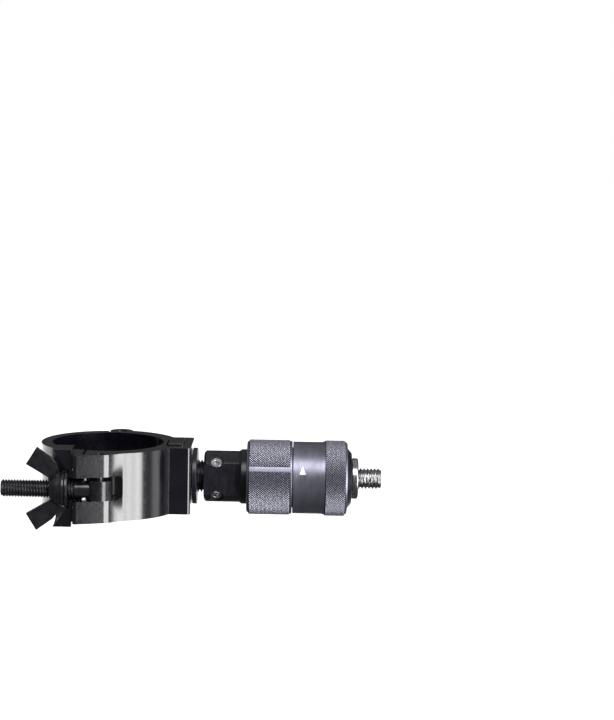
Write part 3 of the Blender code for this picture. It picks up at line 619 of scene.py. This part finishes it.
def sleeve():
    """Tail, waist and front ring; the front ring's crest is knurled."""
    top = SLEEVE_HIGH[2]
    start, end = SLEEVE_LOW[0], SLEEVE_HIGH[0]
    rim = end - RING_CHAMFER
    front = rim - FRONT_LENGTH
    waist = front - FRONT_SLOPE - WAIST_LENGTH
    land = waist + LAND_START
    root = top - KNURL_DEPTH - KNURL_SEAT
    tail_bore = TAIL_R - TAIL_WALL
    profile = [(start, tail_bore), (start, TAIL_R), (waist, TAIL_R), (waist, WAIST_R)]
    profile += [(front - FRONT_SLOPE, WAIST_R), (front, root), (rim, root)]
    profile += [(end, top - RING_CHAMFER), (end, LAND_R), (land, LAND_R), (land, tail_bore)]
    turned("sleeve_finished", profile, "sleeve", "sleeve_grey", "release_sleeve", steps=128)
    knurl_band(
        "front_knurl", front + FRONT_KNURL_SHIFT, rim + FRONT_KNURL_SHIFT, top, "sleeve", "front_knurl",
    )


def lock_ring():
    """Stepped ring over the sleeve's tail, knurled but for its notch."""
    top = LOCK_HIGH[2]
    start, end = LOCK_LOW[0], LOCK_HIGH[0]
    root = top - KNURL_DEPTH - KNURL_SEAT
    step = start + LOCK_MOUTH_LENGTH
    low, high = start + RING_CHAMFER, end - RING_CHAMFER
    profile = [(start, LOCK_MOUTH_R), (start, top - RING_CHAMFER), (low, root), (high, root)]
    profile += [(end, top - LOCK_END_CHAMFER), (end, LOCK_BORE_R)]
    profile += [(step, LOCK_BORE_R), (step, LOCK_MOUTH_R)]
    turned("lock_ring_finished", profile, "ring", "sleeve_grey", "lock_ring", steps=128)
    knurl_band(
        "lock_knurl", low - LOCK_KNURL_LAP, high + LOCK_KNURL_LAP, top, "ring", "lock_knurl",
        notch=True,
    )


def index_mark():
    """Small white triangle on the waist, a thin inlay that follows its curve."""
    centre = (MARK_START + MARK_END) / 2
    radius = WAIST_R + MARK_PROUD
    shape = bmesh.new()
    layers = []
    for lift in (-MARK_SUNK, 0.0):
        lines = []
        for row in range(MARK_ROWS):
            along = row / (MARK_ROWS - 1)
            turn = MARK_ANGLE + MARK_HALF * (1 - 2 * along)
            half = (MARK_END - MARK_START) / 2 * (1 - along) + MARK_POINT_HALF
            ends = [ring_point(centre + side * half, radius + lift, turn) for side in (-1, 1)]
            lines.append([shape.verts.new(end) for end in ends])
        layers.append(lines)
    low, high = layers
    for row in range(MARK_ROWS - 1):
        shape.faces.new((high[row][0], high[row][1], high[row + 1][1], high[row + 1][0]))
        shape.faces.new((low[row][0], low[row][1], low[row + 1][1], low[row + 1][0]))
        for side in (0, 1):
            shape.faces.new((low[row][side], high[row][side], high[row + 1][side], low[row + 1][side]))
    for row in (0, MARK_ROWS - 1):
        shape.faces.new((low[row][0], low[row][1], high[row][1], high[row][0]))
    bmesh.ops.recalc_face_normals(shape, faces=shape.faces)
    mark = piece_from("index_mark", shape)
    finish_piece(mark, "sleeve", "index_white")


def tip():
    rounded_copy("tip_plug", 0.2 * MM)
    thread(
        "tip_thread", PLUG_END - TIP_LAP, STUD_END, TIP_MAJOR_R, TIP_MINOR_R, TIP_PITCH,
        (0, 0), "tip", "bright_steel", "tip_stud",
    )


def spring():
    """The return spring's coil, kept at one fixed length, though the real coil shortens as the sleeve
    is drawn back.
    """
    shape = bmesh.new()
    shape.from_mesh(NODES["release_spring"].data)
    coil = piece_from("release_spring_finished", shape)
    smooth(coil)
    finish_piece(coil, "clamp_base", "spring_steel", "release_spring")
    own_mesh(coil)


def plain_nodes():
    """Pieces that are still shown keep their own solids, with the finished materials."""
    for name, shown in NODES.items():
        if not shown.hide_render:
            shown.data.materials.clear()
            shown.data.materials.append(MATERIALS[SLOT_OF[name]])


# Camera, light and floor


def camera():
    data = bpy.data.cameras.new("view")
    data.sensor_width = CAMERA_SENSOR
    data.lens = CAMERA_LENS
    eye = bpy.data.objects.new("view", data)
    bpy.context.scene.collection.objects.link(eye)
    turn = Euler((math.radians(90 - CAMERA_PITCH), 0, math.radians(-CAMERA_YAW))).to_matrix()
    turn = turn @ Matrix.Rotation(math.radians(CAMERA_ROLL), 3, "Z")
    eye.matrix_world = Matrix.Translation(CAMERA_PLACE) @ turn.to_4x4()
    data.clip_end = CAMERA_FAR
    bpy.context.scene.camera = eye


def softbox(name, place, target, size, power):
    data = bpy.data.lights.new(name, "AREA")
    data.shape = "RECTANGLE"
    data.size, data.size_y = size
    data.energy = power
    lamp = bpy.data.objects.new(name, data)
    bpy.context.scene.collection.objects.link(lamp)
    lamp.location = place
    lamp.rotation_euler = (Vector(target) - Vector(place)).to_track_quat("-Z", "Y").to_euler()


def math_node(tree, operation, first, second=None):
    made = tree.nodes.new("ShaderNodeMath")
    made.operation = operation
    for socket, value in zip(made.inputs, (first, second)):
        if isinstance(value, (int, float)):
            socket.default_value = value
        elif value is not None:
            tree.links.new(value, socket)
    return made.outputs["Value"]


def ramp_node(tree, source, stops):
    """A grey ramp from (position, value) stops."""
    made = tree.nodes.new("ShaderNodeValToRGB")
    fill_ramp(made.color_ramp, [(position, (value,) * 3) for position, value in stops])
    tree.links.new(source, made.inputs["Fac"])
    return made.outputs["Color"]


# Brightness round the horizon, as a share of BOX_LIGHT, by azimuth in degrees from +X
AROUND = (
    (-180, 0.02), (-168, 0.01), (-90, 0.01), (-60, 0.008), (-57, 0.8), (-51, 1.0), (-44, 0.75),
    (-37, 1.0), (-31, 0.9), (-27, 0.02), (-13, 0.02), (-6, 0.14), (3, 0.14), (9, 0.004),
    (40, 0.005), (90, 0.006), (140, 0.005), (180, 0.02),
)
BOX_LIGHT = 9.5
TOP_LIGHT = 0.3
FLOOR_LIGHT = 0.08


def studio():
    """White to the camera; round the object, upright softboxes with dark between, and a dim top."""
    world = bpy.data.worlds.new("studio")
    bpy.context.scene.world = world
    world.use_nodes = True
    tree = world.node_tree
    seen = tree.nodes["Background"]
    seen.inputs["Color"].default_value = (1, 1, 1, 1)
    where = tree.nodes.new("ShaderNodeTexCoord")
    parts = tree.nodes.new("ShaderNodeSeparateXYZ")
    tree.links.new(where.outputs["Generated"], parts.inputs["Vector"])
    turn = math_node(tree, "ARCTAN2", parts.outputs["Y"], parts.outputs["X"])
    share = math_node(tree, "ADD", math_node(tree, "DIVIDE", turn, 2 * math.pi), 0.5)
    around = ramp_node(tree, share, [((a + 180) / 360, value) for a, value in AROUND])
    height = math_node(tree, "ADD", math_node(tree, "MULTIPLY", parts.outputs["Z"], 0.5), 0.5)
    level = ramp_node(tree, height, [(0.2, 0), (0.28, 1), (0.72, 1), (0.82, 0)])
    above = ramp_node(tree, height, [(0.7, 0), (0.85, 1)])
    below = ramp_node(tree, height, [(0.15, 1), (0.3, 0)])
    total = tree.nodes.new("ShaderNodeBackground")
    total.inputs["Strength"].default_value = 1.0
    boxes = math_node(tree, "MULTIPLY", math_node(tree, "MULTIPLY", around, level), BOX_LIGHT)
    top = math_node(tree, "MULTIPLY", above, TOP_LIGHT)
    bottom = math_node(tree, "MULTIPLY", below, FLOOR_LIGHT)
    summed = math_node(tree, "ADD", math_node(tree, "ADD", boxes, top), bottom)
    tree.links.new(summed, total.inputs["Color"])
    path = tree.nodes.new("ShaderNodeLightPath")
    chosen = tree.nodes.new("ShaderNodeMixShader")
    tree.links.new(path.outputs["Is Camera Ray"], chosen.inputs["Fac"])
    tree.links.new(total.outputs["Background"], chosen.inputs[1])
    tree.links.new(seen.outputs["Background"], chosen.inputs[2])
    tree.links.new(chosen.outputs["Shader"], tree.nodes["World Output"].inputs["Surface"])
    softbox("front_key", (0.06, -0.6, 0.7), (0.03, 0, 0), (0.9, 0.5), 6.5)
    bpy.context.scene.view_settings.view_transform = "Standard"


def floor():
    shape = bmesh.new()
    bmesh.ops.create_grid(shape, x_segments=1, y_segments=1, size=FLOOR_HALF)
    ground = piece_from("floor", shape)
    ground.location = FLOOR_PLACE
    made = new_material("floor_white", (0.9, 0.9, 0.9), 0.8, 0.0)
    shader = made.node_tree.nodes["Principled BSDF"]
    shader.inputs["Emission Color"].default_value = (1, 1, 1, 1)
    shader.inputs["Emission Strength"].default_value = FLOOR_GLOW
    ground.data.materials.append(made)


jaws()
bolt()
fasteners()
receiver()
sleeve()
lock_ring()
index_mark()
tip()
spring()
plain_nodes()
camera()
studio()
floor()
